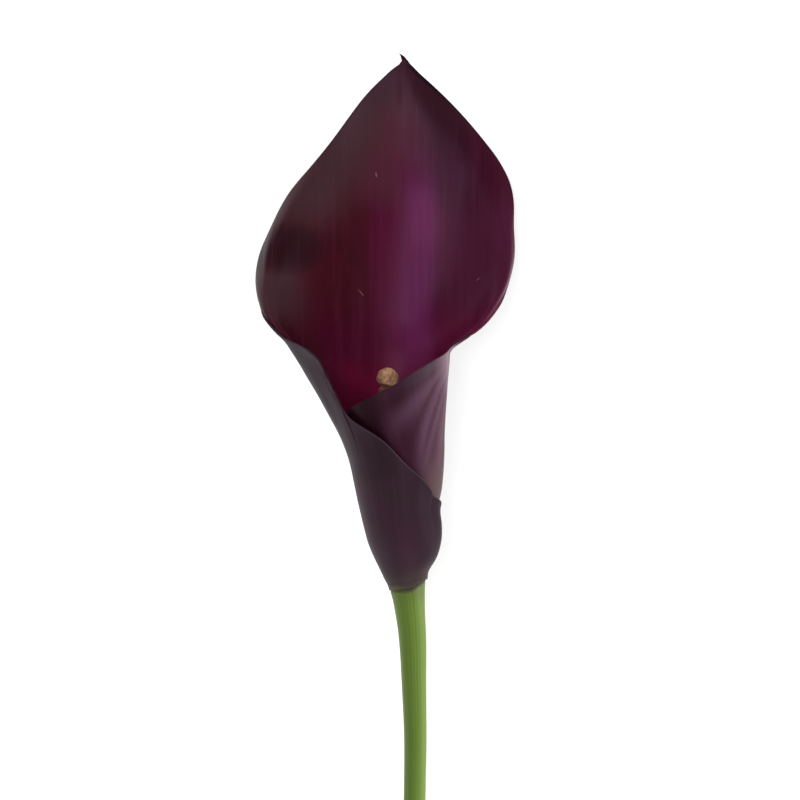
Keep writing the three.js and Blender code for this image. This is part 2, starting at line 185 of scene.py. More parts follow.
def to_margin(c, deg, s, e):
    """distance to the margin. Round the bend of the outer lip, where the columns crowd, it is measured to the margin's line"""
    k = ease((c + 19) / 3) * ease((-5.5 - c) / 3.5)
    at = k > 0
    d, h = deg[at], s[at]
    a = tube(h)[..., 1]
    best = np.full(d.shape, 1e9)
    for (d0, s0), (d1, s1) in zip(BEND[:-1], BEND[1:]):
        px, py, vx, vy = np.radians(d - d0) * a, h - s0, np.radians(d1 - d0) * a, s1 - s0
        f = np.clip((px * vx + py * vy) / (vx * vx + vy * vy), 0, 1)
        best = np.minimum(best, (px - f * vx) ** 2 + (py - f * vy) ** 2)
    out = np.array(e, float)
    out[at] = e[at] * (1 - k[at]) + np.sqrt(best) * k[at]
    return out


def folds(deg, s):
    """soft folds that fan out over the inner wing from its upper corner: ridges and creases, 0 to 1"""
    dx, dy = 1.25 * (deg - 88), 242 - s
    phi, reach = np.degrees(np.arctan2(dx, dy)), np.hypot(dx, dy)
    span = ease((reach - 8) / 40) * ease((165 - reach) / 60)
    ridge, crease = 0, 0
    for at, drift, wide, k in ((8, 0, 2.4, 0.4), (19, 1, 3.2, 0.5), (31.5, 0, 2.6, 0.9), (42, -7, 3.6, 1.0), (55, -1, 5.0, 0.8), (70, 2, 4.5, 0.4)):
        ridge = ridge + k * np.exp(-(((phi - at - drift * (reach - 70) / 60) / wide) ** 2))
    for at, drift, wide, k in ((13, 0, 1.8, 0.5), (26, 0, 2.2, 0.6), (36, -3, 1.8, 0.9), (48.5, -5, 2.2, 1.0), (63, 0, 2.6, 0.6)):
        crease = crease + k * np.exp(-(((phi - at - drift * (reach - 70) / 60) / wide) ** 2))
    return ridge * span, crease * span


def leaf(c, t, ripple=True):
    """middle of the leaf: c across from wing to wing, t from base to margin"""
    u = near_tip(c)
    r, bd = rim(u), base_deg(c)
    s0 = base_line(bd)
    s = s0 + (r[..., 1] - s0) * t
    g = t * t * (3 - 2 * t)
    deg = bd + (r[..., 0] - bd) * g
    p = tube(s)
    w = ease((np.abs(deg) - 42) / 40)
    a = p[..., 1] * w + p[..., 2] * (1 - w)
    pitch = 3.0 + 0.7 * ease(s / 40) + 2.2 * ease((s - 70) / 70)
    off = -pitch * deg / 360
    q = np.radians(deg)
    k = turn_back(u)
    e = (r[..., 1] - s) / np.hypot(1, steepness(u))
    turned = k[..., 0] * np.clip(1 - e / k[..., 1], 0, 1) ** 2.4
    e = to_margin(c, deg, s, e)
    flared = k[..., 2] * np.clip(1 - e / k[..., 3], 0, 1) ** 2
    if ripple:
        flared = flared + waves(c, e)
    around = np.mod(deg, 360)
    wall = walls(s)
    x = p[..., 0] + (a + off + flared) * np.sin(q)
    x = x + wall[..., 0] * ease(around / 40) * ease((185 - around) / 60) + wall[..., 1] * ease((around - 175) / 60) * ease((350 - around) / 60)
    z = p[..., 4] + p[..., 3] - (p[..., 3] + off + flared) * np.cos(q) - turned
    # the left margin is dented where its lower lobe starts
    z = z - 1.8 * np.exp(-(((s - 343) / 14) ** 2)) * ease((-40 - deg) / 16) * (deg > -120)
    # a low midrib runs down from the tip, right of the middle line, and both sides fall away from it
    off_rib = np.sqrt((deg - 0.138 * (527 - s)) ** 2 + 5.0**2) - 5.0
    z = z - 3.0 * ease((s - 385) / 60) * ease((536 - s) / 36) * (1 - np.exp(-off_rib / 11))
    # the end of the tip carries the right margin on, up and over to the left
    tail = np.maximum(0, s - 526.5)
    x = x + 1.6 * ease((s - 514) / 13) - 0.085 * tail**2
    return to_mm(x, s, z + 0.03 * tail**2), deg, s, e * UNIT, x


# ------------------------------------------------------------------ helpers
def new_mesh(name, verts_mm, faces):
    me = bpy.data.meshes.new(name)
    me.from_pydata([tuple(v) for v in (np.asarray(verts_mm) * 0.001)], [], [tuple(int(i) for i in f) for f in faces])
    me.validate()
    me.update()
    me.shade_smooth()
    ob = bpy.data.objects.new(name, me)
    bpy.context.scene.collection.objects.link(ob)
    return ob


def point_vector(ob, name, values):
    at = ob.data.attributes.new(name, "FLOAT_VECTOR", "POINT")
    at.data.foreach_set("vector", np.asarray(values, np.float32).ravel())


# ------------------------------------------------------------------ the spathe
def leaf_columns(n):
    """columns evenly spaced along the leaf's middle height, closer at the two side edges"""
    c = np.linspace(U0, U1, 6000)
    P, Q = leaf(c, np.full_like(c, 0.8))[0], leaf(c, np.full_like(c, 0.3))[0]
    d = np.r_[0, np.cumsum(np.linalg.norm(np.diff(P, axis=0), axis=1) + np.linalg.norm(np.diff(Q, axis=0), axis=1) + 0.01)]
    body = np.interp(np.linspace(d[0], d[-1], n), d, c)[1:-1]
    edge = np.array([0, 0.02, 0.06, 0.12, 0.2, 0.32, 0.5])
    body = body[(body > U0 + 0.6) & (body < U1 - 0.6) & (np.abs(body) > 0.5)]
    tip = np.array([0.0, 0.07, 0.14, 0.22, 0.31, 0.42])
    return np.sort(np.unique(np.concatenate([U0 + edge, U1 - edge, body, tip, -tip])))


def leaf_rows(c, n):
    L = (rim(near_tip(c))[..., 1] - base_line(base_deg(c)))[:, None] * UNIT
    near = np.array([0, 0.03, 0.08, 0.16, 0.3, 0.55])
    far = np.array([1.9, 1.25, 0.8, 0.5, 0.32, 0.2, 0.12, 0.06, 0.02, 0])
    w = np.linspace(0, 1, n + 2)[1:-1][None, :]
    v = 0.55 * w + 0.45 * (1 - (1 - w) ** 1.7)
    mid = 0.55 + (L - 0.55 - 1.9) * v
    return np.concatenate([np.repeat(near[None], len(c), 0), mid, L - far[None]], axis=1) / L


def split_corners(quads, w):
    """the four corner quads become triangles that meet in the corner, so the leaf's two faces share no diagonal"""
    faces = []
    for i, q in enumerate(quads.tolist()):
        if i in (0, len(quads) - 1):
            faces += [(q[0], q[1], q[2]), (q[0], q[2], q[3])]
        elif i in (w - 1, len(quads) - w):
            faces += [(q[0], q[1], q[3]), (q[1], q[2], q[3])]
        else:
            faces.append(q)
    return faces


def make_spathe():
    c1 = leaf_columns(300)
    T = leaf_rows(c1, 104)
    C = np.repeat(c1[:, None], T.shape[1], 1)
    P, deg, s, e, x = leaf(C, T)
    d, dt = 0.012, 0.002
    across = leaf(C + d, T)[0] - leaf(C - d, T)[0]
    along = leaf(C, np.minimum(T + dt, 1))[0] - leaf(C, np.maximum(T - dt, 0))[0]
    out = np.cross(along, across)
    out /= np.maximum(np.linalg.norm(out, axis=-1, keepdims=True), 1e-9)
    back = ease((deg + 215) / 60) * ease((105 - deg) / 60)
    h = WING_THICKNESS + (BODY_THICKNESS - WING_THICKNESS) * back + (1 - back) * 0.3 * ease((s - 95) / 60)
    # the tip's end is longer than the margin beside it, and that extra length doesn't thicken the leaf below
    beyond = 7.6 * np.maximum(0, 1 - (near_tip(C) / 0.085) ** 2) * UNIT / 1.887
    h = h * (MARGIN_THINNING + (1 - MARGIN_THINNING) * ease(np.maximum(0, e - beyond) / 7)) * (0.28 + 0.72 * ease((s - base_line(base_deg(C))) / 16))
    side = np.minimum(np.linalg.norm(P - P[:1], axis=-1), np.linalg.norm(P - P[-1:], axis=-1))
    side = np.where((C - U0 < 1.2) | (U1 - C < 1.2), side, 9)
    edge = np.minimum(np.minimum(e, side), (s - base_line(base_deg(C))) * UNIT)
    r = h * 0.5
    h = h * np.sqrt(np.maximum(0, 1 - (1 - np.clip(edge / r, 0, 1)) ** 2))
    # fine ribs along the leaf's strips
    bd = base_deg(C)
    rib = np.sin(bd * 2 * math.pi / 6.4 + 0.9 * np.sin(bd * 0.11)) * 0.55 + np.sin(bd * 2 * math.pi / 2.9 + 1.3) * 0.45
    fade = ease(edge / 2.5) * ease((s - 4) / 30) * (0.45 + 0.55 * ease((300 - s) / 200))
    grain = np.sin(x * 2 * math.pi / 8.3 + 1.2 * np.sin(x * 0.09)) * 0.5 + np.sin(x * 2 * math.pi / 3.7 + 0.6 * np.sin(x * 0.13)) * 0.5
    outer_rib, inner_rib = rib * 0.008 * fade * (1 - 0.6 * ease((deg - 60) / 20)), grain * 0.0025 * ease(edge / 2.5)
    ridge, crease = folds(deg, s)
    lift = (0.13 * ridge - 0.05 * crease) * ease(e / 2.0)
    P = P + out * lift[..., None]
    outer = P + out * (h / 2 + outer_rib)[..., None]
    inner = P - out * (h / 2 - inner_rib)[..., None]
    for a in (outer, inner):
        a[0], a[-1], a[:, 0], a[:, -1] = P[0], P[-1], P[:, 0], P[:, -1]
    outer[..., 2] = np.maximum(outer[..., 2], 0.02)
    n, m = P.shape[:2]
    io = np.arange(n * m).reshape(n, m)
    ii = io.copy()
    k = n * m
    inside = np.zeros((n, m), bool)
    inside[1:-1, 1:-1] = True
    ii[inside] = k + np.arange(inside.sum())
    verts = np.concatenate([outer.reshape(-1, 3), inner[inside]])
    a, b, c_, d_ = io[:-1, :-1], io[1:, :-1], io[1:, 1:], io[:-1, 1:]
    f1 = split_corners(np.stack([a, d_, c_, b], -1).reshape(-1, 4), m - 1)
    a, b, c_, d_ = ii[:-1, :-1], ii[1:, :-1], ii[1:, 1:], ii[:-1, 1:]
    f2 = split_corners(np.stack([a, b, c_, d_], -1).reshape(-1, 4), m - 1)
    ob = new_mesh("spathe_leaf", verts, f1 + f2)
    ob.data.polygons.foreach_set("material_index", np.r_[np.zeros(len(f1), np.int32), np.ones(len(f2), np.int32)])
    sgn = np.where(inside, 1.0, 0.0)
    flow = np.stack([bd / 10, s / 100, e / 10], -1)
    place = np.stack([deg / 180, sgn, (s - base_line(bd)) / 100], -1)
    relief = np.stack([ridge, crease, (x - CENTRE) / 100], -1)
    place2 = place.copy(); place2[..., 1] = -1
    point_vector(ob, "flow", np.concatenate([flow.reshape(-1, 3), flow[inside]]))
    point_vector(ob, "place", np.concatenate([place.reshape(-1, 3), place2[inside]]))
    point_vector(ob, "relief", np.concatenate([relief.reshape(-1, 3), relief[inside]]))
    return ob


# ------------------------------------------------------------------ round bodies
def make_round(name, rings, line, sides, slant=None, relief=None):
    """rings: (s, radius or None for the line's own, share of the slant); radius 0 closes the end in a point"""
    ang = np.arange(sides) * 2 * math.pi / sides
    verts, faces, attr, count, prev = [], [], [], 0, None
    for s, r, lift in rings:
        if r is not None and r <= 0:
            x, z = line(np.array([float(s)]))[0][:2]
            verts.append(to_mm(np.array([x]), np.array([float(s)]), np.array([z])))
            attr.append(np.array([[0.0, s / 100, 0.0]]))
            ids = [count]
            count += 1
        else:
            v = s + (slant(np.degrees(ang)) * lift if slant else 0 * ang)
            p = line(v)
            rr = (p[:, 2] if r is None else r) + (relief(v, ang) if relief else 0)
            verts.append(to_mm(p[:, 0] + rr * np.sin(ang), v, p[:, 1] - rr * np.cos(ang)))
            attr.append(np.stack([np.sin(ang), v / 100, np.cos(ang)], -1))
            ids = list(range(count, count + sides))
            count += sides
        if prev is not None:
            a, b = prev, ids
            for i in range(sides):
                j = (i + 1) % sides
                if len(a) == 1:
                    faces.append((a[0], b[i], b[j]))
                elif len(b) == 1:
                    faces.append((a[j], a[i], b[0]))
                else:
                    faces.append((a[i], b[i], b[j], a[j]))
        prev = ids
    ob = new_mesh(name, np.concatenate(verts), faces)
    point_vector(ob, "flow", np.concatenate(attr))
    return ob


def make_stem():
    def slant(deg):
        return 11 * np.maximum(np.sin(np.radians(deg)), 0) ** 1.6

    def relief(v, ang):
        k = ease((-6 - v) / 20) * ease((v + 799) / 2)
        tucked = 0.55 * ease((v + 3.9) / 0.9) * ease((4 - v) / 2) * np.maximum(-np.sin(ang), 0) ** 0.7
        return -tucked + k * (0.10 * np.sin(11 * ang + 0.004 * v) + 0.07 * np.sin(23 * ang + 1.1) + 0.10 * np.sin(v / 31.0 + 2 * ang) + 0.08 * np.sin(v / 13.0 + 1.7 - ang))

    s0 = STEM[0, 0]
    r0 = stem_line(np.array([s0]))[0][2]
    rings = [(s0 + 0.7, 0, 0), (s0 + 0.65, r0 * 0.3, 0), (s0 + 0.45, r0 * 0.6, 0), (s0 + 0.15, r0 * 0.82, 0), (s0, r0 - 1.1, 0),
             (s0 + 0.1, r0 - 0.5, 0), (s0 + 0.5, r0 - 0.15, 0), (s0 + 1.1, r0, 0)]
    for s in np.linspace(s0 + 3, -70, 210):
        rings.append((s, None, 0))
    for s in np.linspace(-67, -2.7, 64):
        rings.append((s, None, float(ease((s + 60) / 56))))
    rings += [(-2.2, 17.75, 1), (-1.9, 17.65, 1), (-1.75, 17.3, 1), (-1.66, 16.6, 1), (-1.64, 15.4, 0.99), (-1.62, 14.3, 0.98), (-1.6, STEM_PLUG, 0.96),
              (1, STEM_PLUG - 0.1, 0.7), (5, STEM_PLUG - 0.2, 0.45), (10.6, STEM_PLUG - 0.8, 0.1), (13, STEM_PLUG - 2.6, 0),
              (14, STEM_PLUG - 6.4, 0), (14, 0, 0)]
    return make_round("stem_stalk", rings, stem_line, 72, slant, relief)


def make_spadix():
    s0, head, head_r, neck = 17.0, 209.6, 10.7, 199.5
    rings = [(s0, 0, 0), (s0, 3, 0), (s0, 5.2, 0), (s0 + 0.8, 7.0, 0)]
    body = lambda s: spadix_line(np.array([s]))[0][2] - 0.35 * float(ease((s - 186) / 12))
    for s in np.linspace(s0 + 2.6, neck - 0.6, 200):
        rings.append((s, body(s), 0))
    q0 = math.degrees(math.acos(min(1, (head - neck) / head_r)))
    for q in np.linspace(-(90 - q0), 88, 62):
        r = head_r * math.cos(math.radians(q))
        rings.append((head + head_r * math.sin(math.radians(q)), max(r, body(neck) - 0.2) if q < 0 else r, 0))
    rings.append((head + head_r, 0, 0))
    ob = make_round("spadix_finger", rings, spadix_line, 128)
    me = ob.data
    n = len(me.vertices)
    v = np.empty(n * 3, np.float32); me.vertices.foreach_get("co", v); v = v.reshape(-1, 3).astype(float) * 1000
    nor = np.empty(n * 3, np.float32); me.vertex_normals.foreach_get("vector", nor); nor = nor.reshape(-1, 3).astype(float)
    # florets: a spiral lattice over the finger and its round end
    rng = np.random.default_rng(11)
    pts, sizes = [], []
    pitch, turn = 0.62, math.radians(137.508)
    L = [(s, r) for s, r, _ in rings if r > 0]
    S = np.array([a for a, _ in L]); R = np.array([b for _, b in L])
    ds = np.hypot(np.diff(S), np.diff(R)) * UNIT
    area = np.r_[0, np.cumsum(ds * (R[1:] + R[:-1]) * math.pi * UNIT)]
    total = int(area[-1] / (pitch * pitch * 0.866))
    for k in range(total):
        a = area[-1] * (k + 0.5) / total
        s = np.interp(a, area, S); r = np.interp(a, area, R)
        x, z = spadix_line(np.array([s]))[0][:2]
        g = k * turn + rng.normal(0, 0.02)
        pts.append(to_mm(np.array([x + r * math.sin(g)]), np.array([s]), np.array([z - r * math.cos(g)]))[0])
        sizes.append(rng.uniform(0.84, 1.14))
    pts, sizes = np.array(pts), np.array(sizes)
    near = np.empty(n); which = np.empty(n, int)
    for i in range(0, n, 2000):
        d = np.linalg.norm(v[i:i + 2000, None] - pts[None], axis=-1)
        which[i:i + 2000] = d.argmin(1); near[i:i + 2000] = d.min(1)
    q = np.clip(near / (pitch * 0.60 * sizes[which]), 0, 1)
    bump = np.sqrt(np.maximum(0, 1 - q**2))
    tint = rng.uniform(0, 1, total)[which]
    # the head has dried: its florets are flatter and it is softly dented all over
    centre = to_mm(np.array([387.6]), np.array([head]), np.array([81.0]))[0]
    rel = v - centre
    top = ease((rel[:, 1] + 2.2) / 1.0)
    lift = (0.16 - 0.09 * top) * bump * sizes[which] - 0.05
    dent = np.sin(2.3 * rel[:, 0] + 1.1 * rel[:, 1] + 0.6) * np.sin(1.9 * rel[:, 1] - 0.8 * rel[:, 2] + 2.0)
    dent = dent + 0.6 * np.sin(4.1 * rel[:, 0] - 2.2 * rel[:, 1] + 1.0) * np.sin(3.6 * rel[:, 2] + 1.3 * rel[:, 1])
    # a few larger florets stand out under the head, low on the left
    lump = np.zeros(n)
    for lx, ly, lr, k in ((-1.45, -2.2, 0.42, 0.9), (-0.85, -2.45, 0.34, 0.8), (0.75, -2.35, 0.40, 0.4)):
        d2 = ((rel[:, 0] - lx) ** 2 + (rel[:, 1] - ly) ** 2) / lr**2
        lump = np.maximum(lump, k * np.exp(-d2) * ease((rel[:, 2] - 0.2) / 1.0))
    upper = ease((rel[:, 2] + 2.0) / 1.8) * (0.35 + 0.65 * ease((1.2 - rel[:, 0]) / 1.6))
    step = 0.62 * upper * np.exp(-(((rel[:, 1] + 1.95 + 0.12 * rel[:, 0]) / 0.5) ** 2))
    v = v + nor * (lift + 0.12 * top * dent + 0.42 * lump - step)[:, None]
    me.vertices.foreach_set("co", (v / 1000).astype(np.float32).ravel())
    me.update()
    shade = ease((-1.15 - rel[:, 1] - 0.12 * rel[:, 0]) / 0.6) * ease((rel[:, 1] + 4.4) / 0.9)
    point_vector(ob, "floret", np.stack([bump, tint, lump], -1))
    point_vector(ob, "head", np.stack([top, shade, dent], -1))
    return ob


# ------------------------------------------------------------------ materials
class Nodes:
    def __init__(self, name):
        self.mat = bpy.data.materials.new(name)
        self.mat.use_nodes = True
        self.t = self.mat.node_tree
        for n in list(self.t.nodes):
            self.t.nodes.remove(n)
        self.out = self.t.nodes.new("ShaderNodeOutputMaterial")
        self.bsdf = self.t.nodes.new("ShaderNodeBsdfPrincipled")
        self.t.links.new(self.bsdf.outputs[0], self.out.inputs[0])

    def node(self, kind, **props):
        n = self.t.nodes.new(kind)
        for k, v in props.items():
            setattr(n, k, v)
        return n

    def put(self, socket, value):
        if isinstance(value, bpy.types.NodeSocket):
            self.t.links.new(value, socket)
        else:
            socket.default_value = value

    def attr(self, name):
        n = self.node("ShaderNodeAttribute", attribute_name=name, attribute_type="GEOMETRY")
        s = self.node("ShaderNodeSeparateXYZ")
        self.put(s.inputs[0], n.outputs["Vector"])
        return s.outputs

    def math(self, op, a, b=0.0, c=0.0, clamp=False):
        n = self.node("ShaderNodeMath", operation=op, use_clamp=clamp)
        self.put(n.inputs[0], a); self.put(n.inputs[1], b)
        if len(n.inputs) > 2:
            self.put(n.inputs[2], c)
        return n.outputs[0]

    def band(self, x, lo, hi, a=0.0, b=1.0):
        n = self.node("ShaderNodeMapRange", interpolation_type="SMOOTHERSTEP")
        self.put(n.inputs["Value"], x)
        self.put(n.inputs["From Min"], lo); self.put(n.inputs["From Max"], hi)
        self.put(n.inputs["To Min"], a); self.put(n.inputs["To Max"], b)
        return n.outputs["Result"]

    def vec(self, x, y, z):
        n = self.node("ShaderNodeCombineXYZ")
        self.put(n.inputs[0], x); self.put(n.inputs[1], y); self.put(n.inputs[2], z)
        return n.outputs[0]

    def noise(self, vector, scale, detail=3.0, rough=0.5, distortion=0.0):
        n = self.node("ShaderNodeTexNoise")
        self.put(n.inputs["Vector"], vector); self.put(n.inputs["Scale"], scale)
        self.put(n.inputs["Detail"], detail); self.put(n.inputs["Roughness"], rough); self.put(n.inputs["Distortion"], distortion)
        return n.outputs["Fac"]

    def mix(self, fac, a, b, blend="MIX"):
        n = self.node("ShaderNodeMix", data_type="RGBA", blend_type=blend)
        self.put(n.inputs["Factor"], fac)
        self.put(n.inputs[6], a); self.put(n.inputs[7], b)
        return n.outputs[2]

    def bump(self, height, distance, strength=1.0, normal=None):
        n = self.node("ShaderNodeBump")
        self.put(n.inputs["Height"], height); self.put(n.inputs["Distance"], distance); self.put(n.inputs["Strength"], strength)
        if normal is not None:
            self.put(n.inputs["Normal"], normal)
        return n.outputs[0]

    def set(self, **values):
        for k, v in values.items():
            self.put(self.bsdf.inputs[k.replace("_", " ")], v)


def rgb(r, g, b):
    """screen colour, 0 to 255, as the shader's linear one"""
    f = lambda v: v / 12.92 if v <= 0.04045 else ((v + 0.055) / 1.055) ** 2.4
    return (f(r / 255), f(g / 255), f(b / 255), 1.0)


def leaf_fields(n):
    strip, height, edge = n.attr("flow")
    turn, side, foot = n.attr("place")
    return strip, n.math("MULTIPLY", height, 100.0), edge, n.math("MULTIPLY", turn, 180.0), n.math("MULTIPLY", foot, 100.0)


def spathe_inside():
    """burgundy; violet right of the midrib, part pigment and part painted highlight; a painted grey sheen along the
    left margin and round the tip; painted shade right of the midrib
    """
    n = Nodes("spathe_inside")
    strip, s, edge, deg, foot = leaf_fields(n)
    ridge, crease, lane = n.attr("relief")
    obj = n.node("ShaderNodeTexCoord").outputs["Object"]
    x = n.math("ADD", n.math("MULTIPLY", lane, 100.0), CENTRE)
    silk = n.noise(n.vec(n.math("MULTIPLY", x, 0.13), n.math("MULTIPLY", s, 0.006), 5.0), 1.0, 3.0, 0.6)
    hair = n.noise(n.vec(n.math("MULTIPLY", x, 1.0), n.math("MULTIPLY", s, 0.014), 8.0), 1.0, 2.0, 0.6)
    cloud = n.noise(n.vec(n.math("MULTIPLY", x, 0.03), n.math("MULTIPLY", s, 0.012), 7.0), 1.0, 3.0, 0.6)
    both = lambda *a: a[0] if len(a) == 1 else n.math("MULTIPLY", a[0], both(*a[1:]))
    minus = lambda a, b: n.math("SUBTRACT", a, b)

    # the midrib's line, and how far a point lies right of it
    rib = n.math("ADD", 403.0, n.math("MULTIPLY", minus(1.0, n.math("EXPONENT", n.math("MULTIPLY", minus(s, 527.0), 0.0125))), 51.0))
    off_rib = minus(x, rib)
    col = n.mix(n.band(cloud, 0.35, 0.65), rgb(66, 15, 26), rgb(76, 17, 31))
    col = n.mix(both(n.band(x, 430.0, 456.0), n.band(s, 460.0, 400.0, 0.45, 1.0)), col, rgb(82, 27, 53))
    col = n.mix(both(n.band(x, 358.0, 380.0), n.band(x, 412.0, 392.0), n.band(s, 430.0, 350.0), 0.9), col, rgb(90, 6, 46))
    col = n.mix(both(n.band(s, 305.0, 240.0), n.band(deg, -50.0, -24.0), 0.9), col, n.mix(n.band(x, 368.0, 400.0), rgb(82, 6, 37), rgb(96, 20, 52)))
    # the throat is deep red, painted lighter on its left where the lip's shadow falls: painted light
    col = n.mix(n.band(s, 245.0, 190.0), col, n.mix(n.band(x, 366.0, 346.0), rgb(106, 6, 46), rgb(122, 9, 55)))
    col = n.mix(both(n.band(s, 362.0, 414.0), n.band(x, 338.0, 372.0)), col, n.mix(n.band(x, 394.0, 424.0), rgb(86, 36, 51), rgb(71, 20, 35)))
    # the violet band along the leaf's axis is part pigment and part painted highlight, brightest at mid height
    axis = minus(x, n.math("SUBTRACT", n.band(s, 270.0, 370.0, 414.0, 420.0), n.band(s, 400.0, 475.0, 0.0, 12.0)))
    flush_and_highlight = both(n.band(axis, -34.0, -5.0), n.band(axis, 36.0, 3.0), n.band(s, 458.0, 372.0), n.band(s, 188.0, 252.0))
    violet = n.mix(both(n.band(s, 325.0, 366.0), n.band(s, 425.0, 385.0)), rgb(103, 23, 82), rgb(116, 40, 92))
    violet = n.mix(n.band(s, 285.0, 240.0), violet, rgb(114, 38, 88))
    col = n.mix(n.math("MULTIPLY", flush_and_highlight, 0.9), col, n.mix(n.band(axis, -24.0, 4.0), rgb(106, 27, 73), violet))
    # painted sheen: the left wall, the left lobe and the tip are painted grey-brown where light glances off them
    slope = minus(x, n.math("MULTIPLY", minus(s, 400.0), 0.5))
    left = both(n.band(slope, 384.0, 322.0), n.band(s, 325.0, 400.0))
    lobe = both(n.band(x, 328.0, 268.0), n.band(s, 342.0, 305.0), n.band(s, 245.0, 292.0))
    tip = n.band(s, 440.0, 505.0)
    painted_sheen = n.math("MAXIMUM", n.math("MAXIMUM", left, lobe), tip)
    col = n.mix(n.math("MULTIPLY", painted_sheen, 0.95), col, n.mix(n.band(s, 455.0, 515.0), rgb(74, 48, 53), n.mix(n.band(x, 380.0, 400.0), rgb(60, 40, 45), rgb(62, 31, 37))))
    # painted shade: right of the midrib the leaf is painted darker, as on the side that turns away from the light
    plum = n.mix(n.band(s, 415.0, 470.0), rgb(53, 8, 31), rgb(53, 21, 32))
    col = n.mix(both(n.band(off_rib, -25.0, 8.0), n.band(off_rib, 46.0, 20.0, 0.4, 1.0), n.band(s, 335.0, 425.0), 0.92), col, plum)
    # painted shade in the dent of the left margin
    dx, dy = n.math("MULTIPLY", minus(x, 286.0), 1 / 46.0), n.math("MULTIPLY", minus(s, 339.0), 1 / 30.0)
    dent = n.band(n.math("ADD", n.math("MULTIPLY", dx, dx), n.math("MULTIPLY", dy, dy)), 1.2, 0.0)
    col = n.mix(n.math("MULTIPLY", dent, 0.8), col, rgb(40, 18, 22))
    calm = n.band(s, 500.0, 400.0, 0.25, 1.0)
    col = n.mix(both(n.band(silk, 0.45, 0.78, 0.0, 0.2), calm), col, rgb(112, 42, 82))
    col = n.mix(both(n.band(silk, 0.5, 0.24, 0.0, 0.18), calm), col, rgb(44, 6, 20))
    col = n.mix(both(n.band(hair, 0.52, 0.8, 0.0, 0.05), calm), col, rgb(126, 54, 92))
    col = n.mix(both(n.band(edge, 0.35, 0.0), n.band(x, 450.0, 480.0), n.band(s, 420.0, 350.0), 0.15), col, rgb(92, 14, 54))
    # the left margin and its lip are duller than the leaf beside them
    col = n.mix(both(n.band(edge, 0.7, 0.1), n.band(deg, -56.0, -72.0), 0.7), col, n.mix(n.band(s, 255.0, 225.0), n.mix(n.band(edge, 0.45, 0.05), rgb(46, 26, 31), rgb(30, 7, 18)), rgb(34, 6, 16)))
    col = n.mix(both(n.band(edge, 0.4, 0.05), n.band(s, 270.0, 256.0), n.band(s, 236.0, 245.0), n.band(deg, -66.0, -82.0), 0.6), col, rgb(84, 52, 68))
    col = n.mix(both(n.band(edge, 0.8, 0.25), n.band(deg, -98.0, -118.0), n.band(s, 240.0, 215.0), 0.8), col, rgb(52, 9, 24))
    # three small old scratches
    for d0, s0, lean, half in ((-8.9, 295.0, 0.95, 4.2), (47.2, 308.0, -1.0, 2.6), (-12.1, 413.0, 0.35, 3.6)):
        wide = n.math("MULTIPLY", minus(deg, d0), 2.3)
        y = minus(s, s0)
        wide = n.math("ADD", wide, n.math("MULTIPLY", y, lean))
        wide = n.math("ADD", wide, n.math("MULTIPLY", minus(hair, 0.5), 2.0))
        line = both(n.band(n.math("ABSOLUTE", wide), 1.1, 0.2), n.band(n.math("ABSOLUTE", y), half, half * 0.3))
        col = n.mix(both(line, 0.55), col, rgb(170, 110, 130))
    col = n.mix(n.band(edge, 0.07, 0.0, 0.0, 0.6), col, rgb(40, 18, 40))
    # painted shade along the right margin of the tip, where the margin's thickness lies in shadow; the tip's end itself
    # is darker too
    col = n.mix(both(n.band(edge, 0.13, 0.05), n.band(s, 474.0, 512.0), n.band(x, 402.0, 407.0), 0.9), col, rgb(24, 12, 19))
    col = n.mix(n.band(s, 525.0, 530.0, 0.0, 0.8), col, rgb(32, 18, 22))
    n.set(Base_Color=col)
    n.set(Roughness=n.band(silk, 0.3, 0.7, 0.31, 0.38))
    pores = n.noise(obj, 2600.0, 2.0, 0.6)
    n.set(Normal=n.bump(pores, 0.00002, 0.35, n.bump(n.math("ADD", n.math("MULTIPLY", silk, 0.5), n.math("MULTIPLY", hair, 0.5)), 0.00006, 0.45)))
    n.bsdf.inputs["Specular IOR Level"].default_value = 0.13
    n.bsdf.inputs["Specular Tint"].default_value = (1.0, 0.5, 0.85, 1)
    return n.mat


